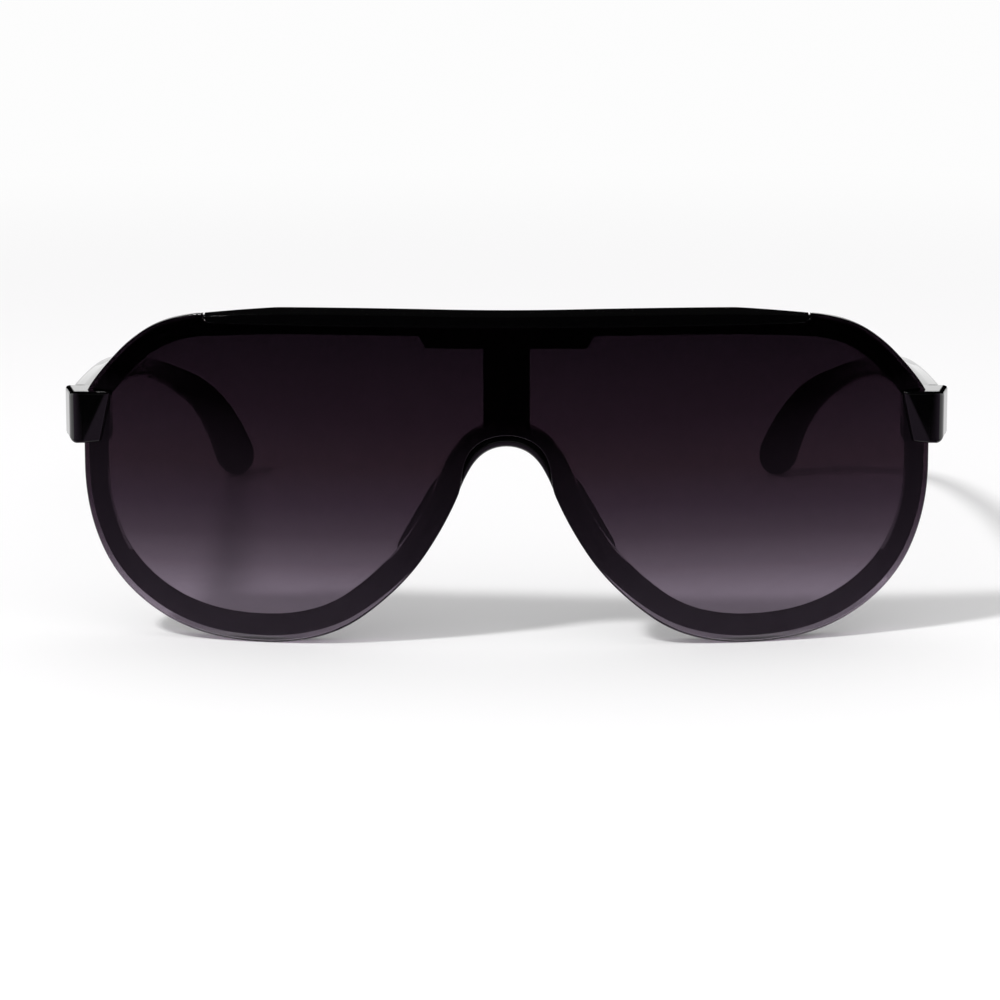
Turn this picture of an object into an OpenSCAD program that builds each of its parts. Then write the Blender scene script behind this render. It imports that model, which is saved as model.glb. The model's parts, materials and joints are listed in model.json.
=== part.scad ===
// Shield sunglasses: a one-piece lens wrapped on a cylinder, carried by a frame behind it,
// with a brow bar over the top edge and two temples on five-knuckle hinges.
// Lengths are in millimetres. X runs across the face, Y to the back and Z up.

/* [Lens] */
// Width of the lens, measured straight across
lens_w = 142.6; // [120:0.2:160]
// Height of the lens
lens_h = 56.6; // [48:0.2:64]
// Outer radius that the lens is curved to
lens_r = 235; // [160:5:320]
// Thickness of the lens
lens_t = 1.8; // [1.2:0.1:2.4]

/* [Front frame] */
// Thickness of the rims behind the lens
rim_t = 3.2; // [2.4:0.1:4]
// Width of the rims, from the lens edge to the eye opening
rim_w = 4; // [3:0.1:6]
// How far the lens edge stands out past the rims
lens_lip = 0.9; // [0.4:0.1:1.2]
// Height of the band along the top of the eye openings
top_band = 4.3; // [3.6:0.1:7]
// Width of the upright bar between the eye openings
bridge_w = 7.7; // [5:0.1:12]
// Width of the stiffening wings at the head of the bridge bar
wing_w = 30; // [20:0.5:44]
// How far the wings reach below the top band
wing_h = 2.8; // [1.5:0.1:5]
// Chamfer at the ends of the wings
wing_chamfer = 1.7; // [0.5:0.1:2.5]
// Fillet in the corners of the eye openings
eye_fillet = 1.5; // [0.4:0.1:2]

/* [Nose] */
// Width of the raised bead round the nose arch
bead_w = 1.3; // [0.8:0.1:2]
// How far the nose arch reaches back behind the rims
saddle_depth = 2.4; // [1:0.1:4]
// Length of a nose pad
pad_l = 15; // [10:0.5:18]
// Depth of a nose pad from front to back
pad_d = 8; // [6:0.5:10]
// Thickness of a nose pad
pad_t = 1.7; // [1.2:0.1:2.4]
// Angle by which the nose pads open to the back
pad_flare = 18; // [8:1:28]

/* [Brow bar] */
// Width of the brow bar
brow_w = 101; // [80:0.5:104]
// Height of its front face at the middle
brow_h = 3.1; // [2.4:0.1:3.8]
// Thickness of the front face
brow_t = 1.3; // [0.9:0.1:2]
// Thickness of the flange over the lens edge
brow_cap = 0.9; // [0.6:0.1:1.2]
// Bevel along the lower front edge
brow_bevel = 0.5; // [0.2:0.1:0.8]
// Diameter of the pegs that hold the bar
peg_d = 1.2; // [0.8:0.1:1.2]
// Diameter of the staked heads of the pegs
peg_head_d = 2.2; // [1.8:0.1:2.2]

/* [Endpieces] */
// Overall width across the endpieces
front_w = 148; // [142:0.5:170]
// Height of an endpiece
end_h = 8.8; // [7.6:0.1:11]
// Height of the hinge line above the surface below
end_z = 37.6; // [30:0.2:41]
// How far the hinge face stands behind the ends of the rims
end_back = 0.6; // [0.4:0.1:3]
// How far the claws reach in over the lens
claw_grip = 4.8; // [3:0.1:6]
// Thickness of a claw at its inner edge
claw_t = 1; // [0.6:0.1:1.6]
// Radius of the outer front corner
end_r = 2.2; // [1:0.1:3]
// Angle of the facet on the front of a claw
facet_a = 25; // [12:1:34]

/* [Hinges] */
// Outside diameter of the hinge barrel
barrel_d = 2.6; // [2.2:0.1:2.8]
// Height of the whole barrel
barrel_h = 6; // [4.5:0.1:6.8]
// Thickness of the hinge leaves
leaf_t = 0.9; // [0.6:0.1:1.1]
// Length of the leaf along the temple
leaf_l = 10.5; // [9:0.5:14]
// Diameter of the hinge screw
screw_d = 1.2; // [0.9:0.1:1.4]
// Diameter of the screw head
screw_head_d = 2.2; // [1.8:0.1:2.4]
// Diameter of the rivets
rivet_d = 1.1; // [0.8:0.1:1.3]

/* [Temples] */
// Length of a temple, from the hinge face to its last control point
temple_l = 132.5; // [115:0.5:150]
// How far the tip drops below the hinge line
temple_drop = 32.8; // [24:0.2:35]
// How far the tip tucks in towards the head
temple_tuck = 17.4; // [8:0.2:24]
// Thickness of a temple at the hinge
temple_t = 3.2; // [2.8:0.1:4]
// Thickness of the temple tip
tip_t = 2.9; // [2.2:0.1:3.6]
// Height of the narrow middle stretch
waist_h = 3.8; // [3:0.1:6]
// Height of the broad tip behind the ear
paddle_h = 7.8; // [6:0.2:11]

/* [Hidden] */

// Fits and small sizes
lens_gap = 0.08;
peg_gap = 0.06;
pin_gap = 0.03;
knuckle_gap = 0.05;
leaf_gap = 0.02;
stop_gap = 0.06;
peg_head_t = 0.5;
screw_head_t = 0.5;
screw_slot = 0.4;
rivet_head_d = 1.9;
rivet_head_t = 0.4;
rivet_grip = 2;
overrun = 4;
smooth = 96;

black = [0.06, 0.06, 0.07];
smoke = [0.30, 0.24, 0.30];
steel = [0.72, 0.73, 0.75];

// A smooth curve that follows a polygon of control points, of any dimension
function blend(a, b, c, t) = a * ((1 - t) * (1 - t)) + b * (2 * t * (1 - t)) + c * (t * t);
function curve(p, n) = let (last = len(p) - 1) [
    for (i = [1 : last - 1])
        let (a = i == 1 ? p[0] : (p[i - 1] + p[i]) / 2,
             c = i == last - 1 ? p[last] : (p[i] + p[i + 1]) / 2)
        for (k = [0 : n - 1]) blend(a, p[i], c, k / n),
    p[last]];

// Control points of the right half of the lens, as shares of its half width and height:
// over the brow, round the side and along the bottom, and then up round the nose
brow_shares = [[0, 0.997], [0.08, 0.997], [0.24, 1], [0.42, 1], [0.6, 0.996], [0.831, 0.973],
               [0.998, 0.75], [1, 0.662], [1, 0.373], [0.914, 0.145], [0.719, 0], [0.432, 0],
               [0.245, 0.175]];
nose_shares = [[0.136, 0.381], [0.069, 0.602], [0, 0.602]];
// How each nose control point moves as the arch is widened
widen_shares = [[0.9, 0.2], [0.6, 1], [0, 1]];
curve_steps = 6;

// The lens outline, with its nose arch widened by a margin
module outline_2d(margin = 0) {
    size = [lens_w / 2, lens_h];
    nose = [for (i = [0 : len(nose_shares) - 1])
        [nose_shares[i].x * size.x, nose_shares[i].y * size.y] + widen_shares[i] * margin];
    half = curve(concat([for (s = brow_shares) [s.x * size.x, s.y * size.y]], nose), curve_steps);
    count = len(half);
    polygon(concat(half, [for (i = [count - 2 : -1 : 1]) [-half[i].x, half[i].y]]));
}

// A flat shape pushed from one depth to another, along Y
module through(from_y, to_y) {
    translate([0, to_y, 0]) rotate([90, 0, 0]) linear_extrude(to_y - from_y) children();
}

// A slice of wall that is curved like the lens
module curved_wall(r_out, r_in) {
    translate([0, lens_r, -overrun]) difference() {
        cylinder(h = lens_h + 2 * overrun, r = r_out, $fn = smooth);
        translate([0, 0, -overrun]) cylinder(h = lens_h + 4 * overrun, r = r_in, $fn = smooth);
    }
}

// Depth of a point on a curved wall at a distance from the middle
function wall_y(r, x) = lens_r - sqrt(r * r - x * x);

lens_back_r = lens_r - lens_t;
rim_r = lens_back_r - lens_gap;
rim_back_r = rim_r - rim_t;
brow_back_r = lens_r + lens_gap;
brow_r = brow_back_r + brow_t;
end_y = wall_y(rim_back_r, lens_w / 2 - lens_lip) + end_back;

// The strip of the outline that the flange of the brow bar takes the place of
module brow_strip_2d(thickness) {
    difference() {
        intersection() {
            outline_2d();
            translate([-brow_w / 2, lens_h / 2]) square([brow_w, lens_h]);
        }
        translate([0, -thickness]) outline_2d();
    }
}

// Places of the brow bar's pegs
peg_z = lens_h - brow_h + peg_d / 2 + peg_gap;
peg_spread_shares = [0.1, 0.28];
module at_pegs() {
    for (side = [-1, 1], s = peg_spread_shares)
        translate([side * s * brow_w, 0, peg_z]) rotate([-90, 0, 0]) children();
}

module shield_lens() {
    color(smoke) difference() {
        intersection() {
            through(-overrun, end_y) difference() {
                outline_2d(bead_w + lens_gap);
                brow_strip_2d(brow_cap + lens_gap);
            }
            curved_wall(lens_r, lens_back_r);
        }
        at_pegs() cylinder(h = end_y, d = peg_d + 2 * peg_gap, $fn = smooth);
    }
}

// The band over the eyes, the bridge bar and the wings at its head, seen from the front
module bridge_2d() {
    band_z = lens_h - top_band;
    offset(r = -eye_fillet, $fn = smooth / 2) offset(delta = eye_fillet) {
        translate([-lens_w / 2, band_z]) square([lens_w, lens_h]);
        translate([-bridge_w / 2, 0]) square([bridge_w, lens_h]);
        polygon([[-wing_w / 2, lens_h], [-wing_w / 2, band_z],
                 [wing_chamfer - wing_w / 2, band_z - wing_h],
                 [wing_w / 2 - wing_chamfer, band_z - wing_h],
                 [wing_w / 2, band_z], [wing_w / 2, lens_h]]);
    }
}

// Both eye openings
module eyes_2d() {
    difference() {
        offset(delta = -rim_w) outline_2d();
        bridge_2d();
    }
}

// The part of a shape that lies round the nose arch, down to where its bead has tapered away
bead_foot = 0.25;
module near_nose() {
    last = brow_shares[len(brow_shares) - 1];
    foot = (last.y + nose_shares[0].y) / 2 * lens_h + bead_foot;
    reach = last.x * lens_w / 2;
    intersection() {
        children();
        translate([-reach, foot]) square([2 * reach, lens_h - foot]);
    }
}

// Outline of the rims: inset from the lens edge, but level with it round the nose
module rim_2d() {
    offset(delta = -lens_lip) outline_2d();
    near_nose() outline_2d();
}

// The nose arch from its bead in front of the lens to the saddle behind the rims
bead_rise_share = 0.8;
module nose_arch() {
    wall = bead_w + lens_lip;
    intersection() {
        through(-overrun, end_y) near_nose() difference() {
            outline_2d();
            outline_2d(bead_w);
        }
        curved_wall(lens_back_r + lens_t * bead_rise_share, rim_back_r);
    }
    intersection() {
        through(-overrun, end_y) near_nose() difference() {
            outline_2d();
            outline_2d(wall);
        }
        curved_wall(rim_r, rim_back_r - saddle_depth);
    }
}

// A nose pad: a plate with round ends that follows the side of the arch and opens to the back
pad_shares = [0.157, 0.347];
pad_lean = 29.5;
module nose_pad() {
    x = pad_shares.x * lens_w / 2;
    radius = pad_d / 2 - eye_fillet;
    translate([x, wall_y(rim_r, x), pad_shares.y * lens_h])
        rotate([0, -pad_lean, 0]) rotate([0, 0, -pad_flare]) rotate([90, 0, 90]) linear_extrude(pad_t)
            offset(r = radius, $fn = smooth / 2) offset(delta = -radius)
                translate([0, -pad_l / 2]) square([pad_d, pad_l]);
}

// An endpiece reaches from the seat of the hinge plate, or from the rim if that lies further in,
// to the outside of the temple, or round the edge of the lens if that lies further out
plate_w = 3.4;
end_wall = 1.2;
seat_wall = 0.6;
end_x = max(front_w / 2, lens_w / 2 + end_wall);
end_in = min(lens_w / 2 - rim_w, front_w / 2 - temple_t - stop_gap - plate_w - seat_wall);

// Front face of an endpiece, narrower at its foot
claw_w = end_x - lens_w / 2 + claw_grip;
claw_foot_share = 0.74;
claw_y = wall_y(lens_r, end_x - claw_w) - claw_t;
module claw_2d() {
    z = end_z + end_h / 2;
    polygon([[end_x, z], [end_x - claw_w, z],
             [end_x - claw_w * claw_foot_share, z - end_h], [end_x, z - end_h]]);
}

// The right endpiece: a claw in front of the lens edge and the block that holds the hinge
facet_x_share = 0.55;
facet_lean = 18.8;
end_edge = 0.6;
module endpiece() {
    slot_y = wall_y(lens_back_r, end_x - claw_w);
    span = end_x - min(end_in, end_x - claw_w) + 2 * end_r;
    difference() {
        intersection() {
            union() {
                through(claw_y, slot_y) claw_2d();
                through(slot_y, end_y) translate([end_in, end_z - end_h / 2])
                    square([end_x - end_in, end_h]);
            }
            translate([0, 0, end_z - end_h / 2]) linear_extrude(end_h)
                offset(r = end_r, $fn = smooth / 2) offset(delta = -end_r)
                    translate([end_x - span, claw_y]) square([span, end_y - claw_y + end_r]);
            through(-overrun, end_y) offset(r = end_edge, $fn = smooth / 4) offset(delta = -end_edge)
                translate([end_x - span, end_z - end_h / 2]) square([span, end_h]);
        }
        translate([end_x - claw_w * facet_x_share, claw_y, end_z])
            rotate([0, -facet_lean, 0]) rotate([0, 0, -facet_a])
                translate([-claw_w * 2, -end_h, -end_h]) cube([claw_w * 2, end_h, end_h * 2]);
    }
}

module both_sides() {
    children();
    mirror([1, 0, 0]) children();
}

module front_frame() {
    color(black) difference() {
        union() {
            intersection() {
                through(-overrun, end_y) difference() {
                    rim_2d();
                    eyes_2d();
                    brow_strip_2d(brow_cap + lens_gap);
                }
                curved_wall(rim_r, rim_back_r);
            }
            nose_arch();
            both_sides() {
                nose_pad();
                endpiece();
            }
        }
        // The slot for the lens
        intersection() {
            through(-overrun, end_y) offset(delta = lens_gap) outline_2d(bead_w);
            curved_wall(lens_r + lens_gap, rim_r);
        }
        at_pegs() cylinder(h = end_y, d = peg_d + 2 * peg_gap, $fn = smooth);
        both_sides() hinge_seat();
    }
}

// The brow bar: a bevelled face in front of the lens, a flange over its edge and four pegs
brow_corner_share = 0.6;
module brow_bar() {
    foot_z = lens_h - brow_h;
    radius = brow_h * brow_corner_share;
    color(black) union() {
        intersection() {
            through(-overrun, end_y) intersection() {
                outline_2d();
                offset(r = radius, $fn = smooth / 2) offset(delta = -radius)
                    translate([-brow_w / 2, foot_z]) square([brow_w, lens_h]);
            }
            translate([0, lens_r, 0]) rotate_extrude($fn = smooth)
                polygon([[brow_back_r, foot_z], [brow_r - brow_bevel, foot_z],
                         [brow_r, foot_z + brow_bevel], [brow_r, lens_h + brow_h],
                         [brow_back_r, lens_h + brow_h]]);
        }
        intersection() {
            through(-overrun, end_y) brow_strip_2d(brow_cap);
            curved_wall(brow_r, rim_back_r);
        }
        for (side = [-1, 1], s = peg_spread_shares) {
            x = s * brow_w;
            front = wall_y(brow_back_r, x) - brow_t / 2;
            back = wall_y(rim_back_r, x + peg_head_d / 2) + peg_gap;
            translate([side * x, 0, peg_z]) rotate([-90, 0, 0]) {
                translate([0, 0, front]) cylinder(h = back + peg_head_t - front, d = peg_d, $fn = smooth);
                translate([0, 0, back]) cylinder(h = peg_head_t, d = peg_head_d, $fn = smooth);
            }
        }
    }
}

// The hinge axis stands beside the temple and just behind the endpiece
barrel_r = barrel_d / 2;
temple_in = front_w / 2 - temple_t;
hinge_x = temple_in - barrel_r - stop_gap;
plate_proud = 0.2;
hinge_y = end_y + plate_proud + barrel_r + 3 * knuckle_gap;
knuckles = 5;
knuckle_h = (barrel_h - (knuckles - 1) * knuckle_gap) / knuckles;
knuckle_step = knuckle_h + knuckle_gap;
barrel_z = end_z - barrel_h / 2;
plate_h = barrel_h + leaf_t;
anchor_d = 3.2;
anchor_foot = 1;

// The part of the front leaf that is sunk into the endpiece, with room round it
module anchor(room) {
    x = hinge_x + barrel_r - plate_w;
    translate([x - room, end_y + plate_proud - leaf_t - room, end_z - plate_h / 2 - room])
        cube([plate_w + 2 * room, leaf_t + 2 * room, plate_h + 2 * room]);
    translate([hinge_x - leaf_t / 2 - room, end_y - anchor_d - room, end_z - knuckle_step - room])
        cube([leaf_t + 2 * room, anchor_d + 2 * room, 2 * (knuckle_step + room)]);
    translate([hinge_x - leaf_t - room, end_y - anchor_d - room, end_z - knuckle_step - room])
        cube([2 * (leaf_t + room), anchor_foot + 2 * room, 2 * (knuckle_step + room)]);
}

module hinge_seat() {
    anchor(leaf_gap);
}

// One knuckle of the barrel, at its place in the stack
module knuckle(place) {
    translate([hinge_x, hinge_y, barrel_z + place * knuckle_step])
        cylinder(h = knuckle_h, r = barrel_r, $fn = smooth);
}

module front_hinge() {
    color(steel) difference() {
        union() {
            anchor(0);
            for (place = [0 : 2 : knuckles - 1]) {
                knuckle(place);
                translate([hinge_x - barrel_r, end_y, barrel_z + place * knuckle_step])
                    cube([barrel_d, hinge_y - end_y, knuckle_h]);
            }
        }
        translate([hinge_x, hinge_y, barrel_z - overrun])
            cylinder(h = barrel_h + 2 * overrun, d = screw_d + 2 * pin_gap, $fn = smooth);
    }
}

// The leaf on the inside of the temple
leaf_x = temple_in + leaf_gap;
leaf_h = barrel_h - leaf_t;
leaf_end_y = hinge_y + leaf_l;
module leaf(room) {
    radius = leaf_h / 3;
    translate([leaf_x - leaf_t, 0, 0]) rotate([90, 0, 90]) linear_extrude(leaf_t + room)
        offset(r = radius, $fn = smooth / 2) offset(delta = -radius)
            translate([hinge_y - room - radius, end_z - leaf_h / 2 - room])
                square([leaf_l + 2 * room + radius, leaf_h + 2 * room]);
}

rivet_step = 4;
rivet_first = 4.2;
rivet_l = leaf_t + rivet_grip;
module at_rivets() {
    for (i = [0, 1])
        translate([leaf_x - leaf_t, hinge_y + rivet_first + i * rivet_step, end_z])
            rotate([0, 90, 0]) children();
}

module temple_hinge() {
    color(steel) difference() {
        union() {
            intersection() {
                leaf(0);
                translate([0, hinge_y + barrel_r, 0]) cube([front_w, temple_l, lens_h]);
            }
            for (place = [1 : 2 : knuckles - 1]) {
                knuckle(place);
                translate([hinge_x, hinge_y, barrel_z + place * knuckle_step])
                    cube([leaf_x - hinge_x, barrel_r + leaf_t, knuckle_h]);
            }
        }
        translate([hinge_x, hinge_y, barrel_z - overrun])
            cylinder(h = barrel_h + 2 * overrun, d = screw_d + 2 * pin_gap, $fn = smooth);
        at_rivets() translate([0, 0, -overrun])
            cylinder(h = 2 * overrun, d = rivet_d + 2 * pin_gap, $fn = smooth);
    }
}

module temple_rivets() {
    color(steel) at_rivets() {
        cylinder(h = rivet_l, d = rivet_d, $fn = smooth);
        translate([0, 0, -rivet_head_t]) cylinder(h = rivet_head_t, d = rivet_head_d, $fn = smooth);
    }
}

module hinge_screw() {
    color(steel) translate([hinge_x, hinge_y, barrel_z]) difference() {
        union() {
            cylinder(h = barrel_h, d = screw_d, $fn = smooth);
            translate([0, 0, barrel_h]) cylinder(h = screw_head_t, d = screw_head_d, $fn = smooth);
        }
        translate([-screw_head_d, -screw_slot / 2, barrel_h + screw_head_t / 2])
            cube([2 * screw_head_d, screw_slot, screw_head_t]);
    }
}

// Control points of a temple's centre line: share of its length, drop and tuck, with the
// height and thickness of the section there
temple_ctrl = [
    [0, 0, 0, end_h, temple_t],
    [0.264, 0.03, 0, end_h * 0.77, temple_t],
    [0.619, 0.19, 0.014, waist_h * 1.1, tip_t],
    [0.885, 0.394, 0.212, waist_h * 0.9, tip_t],
    [0.989, 0.676, 0.798, paddle_h * 0.86, tip_t],
    [1, 1, 1, paddle_h, tip_t]];
temple_path = curve([for (c = temple_ctrl)
    [end_y + stop_gap + c[0] * temple_l, end_z - c[1] * temple_drop,
     front_w / 2 - temple_t / 2 - c[2] * temple_tuck, c[3], c[4]]], 9);
tip_l = 4.6;
tip_steps = [20 : 20 : 80];
corner_steps = [0 : 30 : 90];
corner_share = 0.36;

// A rounded rectangle, as a list of points
function section(w, h) = let (r = corner_share * min(w, h)) [
    for (q = [0 : 3], a = corner_steps)
        let (sx = q == 0 || q == 3 ? 1 : -1, sy = q < 2 ? 1 : -1)
        [sx * (w / 2 - r) + r * cos(q * 90 + a), sy * (h / 2 - r) + r * sin(q * 90 + a)]];

// A section set square to the path, on edge like a strip that is bent in only sideways
function ring(c, t) = let (level = norm([t[0], t[2]]), n = norm([t[0], t[1], t[2]]),
        ty = t[0] / level, tx = t[2] / level, fall = t[1] / n, rise = level / n)
    [for (p = section(c[4], c[3]))
        [c[2] + ty * p.x - tx * fall * p.y, c[0] - tx * p.x - ty * fall * p.y, c[1] + rise * p.y]];

function temple_rings() = let (last = len(temple_path) - 1,
        heading = temple_path[last] - temple_path[last - 1],
        unit = heading / norm([heading[0], heading[1]])) concat(
    [ring(temple_path[0], [1, 0, 0])],
    [for (i = [1 : last]) ring(temple_path[i], temple_path[min(i + 1, last)] - temple_path[i - 1])],
    [for (a = tip_steps) let (p = temple_path[last] + unit * tip_l * sin(a))
        ring([p[0], p[1], p[2], temple_path[last][3] * cos(a), tip_t * (1 + cos(a)) / 2], unit)]);

module swept(rings) {
    size = len(rings[0]);
    last = len(rings) - 1;
    polyhedron(
        points = [for (r = rings, p = r) p],
        faces = concat(
            [[for (k = [size - 1 : -1 : 0]) k]],
            [for (i = [0 : last - 1], k = [0 : size - 1])
                [i * size + k, i * size + (k + 1) % size, (i + 1) * size + k]],
            [for (i = [0 : last - 1], k = [0 : size - 1])
                [(i + 1) * size + k, i * size + (k + 1) % size, (i + 1) * size + (k + 1) % size]],
            [[for (k = [0 : size - 1]) last * size + k]]));
}

module temple() {
    color(black) difference() {
        swept(temple_rings());
        // The flat that the hinge leaf lies in
        translate([leaf_x - overrun, end_y - overrun, end_z - leaf_h / 2 - leaf_gap])
            cube([overrun, leaf_end_y - end_y + overrun + leaf_gap, leaf_h + 2 * leaf_gap]);
        at_rivets() cylinder(h = rivet_l + leaf_gap, d = rivet_d + 2 * pin_gap, $fn = smooth);
    }
}

// The origin is under the middle of the whole part
front_y = lens_r - brow_r;
back_y = max([for (r = temple_rings(), p = r) p.y]);
module placed() {
    translate([0, -(front_y + back_y) / 2, 0]) children();
}
module left() {
    placed() mirror([1, 0, 0]) children();
}

placed() front_frame();
placed() shield_lens();
placed() brow_bar();
left() front_hinge();  // left_front_hinge
placed() front_hinge();  // right_front_hinge
left() temple_hinge();  // left_temple_hinge
placed() temple_hinge();  // right_temple_hinge
left() hinge_screw();  // left_hinge_screw
placed() hinge_screw();  // right_hinge_screw
left() temple_rivets();  // left_temple_rivets
placed() temple_rivets();  // right_temple_rivets
left() temple();  // left_temple
placed() temple();  // right_temple
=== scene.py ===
"""Shield sunglasses: a smoke lens over a black frame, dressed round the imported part."""

import json
import math

import bmesh
import bpy
from bpy.props import FloatProperty, FloatVectorProperty, PointerProperty
from mathutils import Matrix, Vector


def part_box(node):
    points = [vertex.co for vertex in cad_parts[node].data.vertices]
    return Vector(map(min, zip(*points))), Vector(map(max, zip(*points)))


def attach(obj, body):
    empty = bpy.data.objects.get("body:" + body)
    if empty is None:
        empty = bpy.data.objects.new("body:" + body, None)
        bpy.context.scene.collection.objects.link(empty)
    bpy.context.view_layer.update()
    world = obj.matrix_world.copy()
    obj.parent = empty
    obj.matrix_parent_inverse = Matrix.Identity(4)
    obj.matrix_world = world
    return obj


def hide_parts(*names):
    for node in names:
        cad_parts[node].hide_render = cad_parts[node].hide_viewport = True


bl_info = {
    "name": "Shield Sunglasses",
    "version": (1, 0, 0),
    "blender": (4, 5, 0),
    "location": "View3D > Sidebar > Sunglasses",
    "description": "Builds shield sunglasses with a smoke lens, a brow bar and folding temples",
    "category": "Add Mesh",
}

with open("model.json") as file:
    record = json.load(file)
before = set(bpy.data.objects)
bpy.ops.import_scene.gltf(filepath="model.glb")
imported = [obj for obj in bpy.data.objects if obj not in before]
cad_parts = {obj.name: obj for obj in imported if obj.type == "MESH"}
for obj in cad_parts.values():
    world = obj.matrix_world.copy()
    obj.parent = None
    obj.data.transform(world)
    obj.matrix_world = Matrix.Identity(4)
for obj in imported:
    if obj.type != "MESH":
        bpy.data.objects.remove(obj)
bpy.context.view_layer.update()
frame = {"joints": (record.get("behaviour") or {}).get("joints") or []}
LENS_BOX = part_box("shield_lens")
FRONT_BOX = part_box("front_frame")
BROW_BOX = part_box("brow_bar")
TEMPLE_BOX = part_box("right_temple")
HINGE_AXIS = Vector(next(j["pos_m"] for j in frame["joints"] if j["name"] == "right_temple_fold"))

# Depths are counted from the front of the lens at its middle
APEX_Y = LENS_BOX[0].y


def size(name, default, description):
    """A length that a user can change"""
    return FloatProperty(name=name, description=description, default=default, min=0.0, precision=5,
                         unit="LENGTH")


def angle(name, default, description):
    """An angle that a user can change"""
    return FloatProperty(name=name, description=description, default=math.radians(default),
                         subtype="ANGLE")


def tint(name, default, description):
    """A colour that a user can change"""
    return FloatVectorProperty(name=name, description=description, default=default, size=3,
                               min=0.0, max=1.0, subtype="COLOR")


def level(name, default, description):
    """A plain number that a user can change"""
    return FloatProperty(name=name, description=description, default=default, min=0.0)


def place(name, default, description):
    """A point that a user can change"""
    return FloatVectorProperty(name=name, description=description, default=default, size=3,
                               precision=5, subtype="TRANSLATION")


class LensSizes(bpy.types.PropertyGroup):
    width: size("Width", 2 * LENS_BOX[1].x, "Width of the lens, straight across")
    height: size("Height", BROW_BOX[1].z, "Height of the lens and the brow bar's flange over it")
    radius: size("Radius", 0.235, "Outer radius that the lens is curved to")
    thickness: size("Thickness", 0.0018, "Thickness of the lens")
    edge_round: size("Edge round", 0.0003, "Rounding of the polished edge")
    gap: size("Gap", 0.00008, "Clearance between the lens and its neighbours")


class FrameSizes(bpy.types.PropertyGroup):
    rim_thickness: size("Rim thickness", 0.0032, "Depth of the rims behind the lens")
    rim_width: size("Rim width", 0.004, "From the lens edge to the eye opening")
    lip: size("Lens lip", 0.0009, "How far the lens edge stands out past the rims")
    lip_from: size("Lip from", 0.020, "Length from the top of the nose arch to where it starts")
    lip_to: size("Lip to", 0.050, "Length from the top of the nose arch to where it is full")
    top_band: size("Top band", 0.0033, "Height of the band over the eyes")
    bridge_width: size("Bridge width", 0.0077, "Width of the upright bridge bar")
    wing_width: size("Wing width", 0.030, "Width of the wings at the head of the bridge")
    wing_height: size("Wing height", 0.0028, "How far the wings reach below the band")
    wing_chamfer: size("Wing chamfer", 0.0017, "Chamfer at the ends of the wings")
    eye_fillet: size("Eye fillet", 0.0015, "Fillet in the corners of the eye openings")
    rear_round: size("Rear round", 0.0008, "Rounding of the rims on the side of the face")
    front_round: size("Front round", 0.00025, "Rounding of the rims against the lens")


class NoseSizes(bpy.types.PropertyGroup):
    bead_width: size("Bead width", 0.0019, "Width of the raised bead round the nose arch")
    bead_sink: size("Bead sink", 0.00036, "How far the bead stays behind the front of the lens")
    saddle_depth: size("Saddle depth", 0.0024, "How far the arch reaches back behind the rims")
    bead_from: size("Bead from", 0.0035, "Length of the arch from its top to where it narrows")
    bead_to: size("Bead to", 0.0125, "Length of the arch from its top to where the bead ends")
    bead_round: size("Bead round", 0.0009, "Rounding of the bead where it is wide enough")
    bead_hold: level("Bead hold", 2.5, "How long the narrowing bead keeps its depth")
    wall: size("Wall", 0.0022, "Thickness of the arch behind the lens")
    wall_round: size("Wall round", 0.0007, "Rounding of the arch on the side of the face")
    fade_from: size("Fade from", 0.015, "Length of the arch from its top to where it fades")
    fade_to: size("Fade to", 0.026, "Length of the arch from its top to where it ends in the rims")
    pad_length: size("Pad length", 0.015, "Length of a nose pad")
    pad_depth: size("Pad depth", 0.008, "Depth of a nose pad")
    pad_thickness: size("Pad thickness", 0.0017, "Thickness of a nose pad")
    pad_round: size("Pad round", 0.0006, "Rounding of the edge of a nose pad")
    pad_x: size("Pad x", 0.0119, "Where the middle of a pad stands from the middle of the nose")
    pad_z: size("Pad z", 0.01964, "Height of the middle of a pad")
    pad_lean: angle("Pad lean", 29.5, "Lean of a pad, seen from the front")
    pad_flare: angle("Pad flare", 18.0, "Angle by which the pads open to the back")


class EndpieceSizes(bpy.types.PropertyGroup):
    height: size("Height", 0.0088, "Height of an endpiece")
    claw_width: size("Claw width", 0.0075, "Width of the claw at its top")
    foot_share: level("Foot share", 0.74, "Width of the claw at its foot, as a share of its top")
    claw_thickness: size("Claw thickness", 0.001, "Thickness of a claw at its inner edge")
    claw_step: size("Claw step", 0.0006, "Depth over which the claw turns into the block")
    inner_x: size("Inner x", 0.0667, "Where the block of the endpiece starts, from the middle")
    stand: size("Stand", 0.0009, "How far the endpiece stands out past the temple at the hinge")
    flare: size("Flare", 0.0016, "How far the outer side slants in from the hinge to the front")
    top_slope: angle("Top slope", 1.6, "Slope of the top, down towards the temple")
    corner_round: size("Corner round", 0.0020, "Radius of the outer front corner")
    side_round: size("Side round", 0.0009, "Rounding of the outer long edges")
    edge_round: size("Edge round", 0.00045, "Rounding of the other edges")
    crisp_round: size("Crisp round", 0.0002, "Rounding round the facet and at the hinge face")
    facet_share: level("Facet share", 0.63, "Where the facet starts, as a share of the claw")
    facet_lean: angle("Facet lean", 25.0, "Lean of the facet, seen from the front")
    facet_turn: angle("Facet turn", 25.0, "Angle between the facet and the front of the claw")


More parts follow.
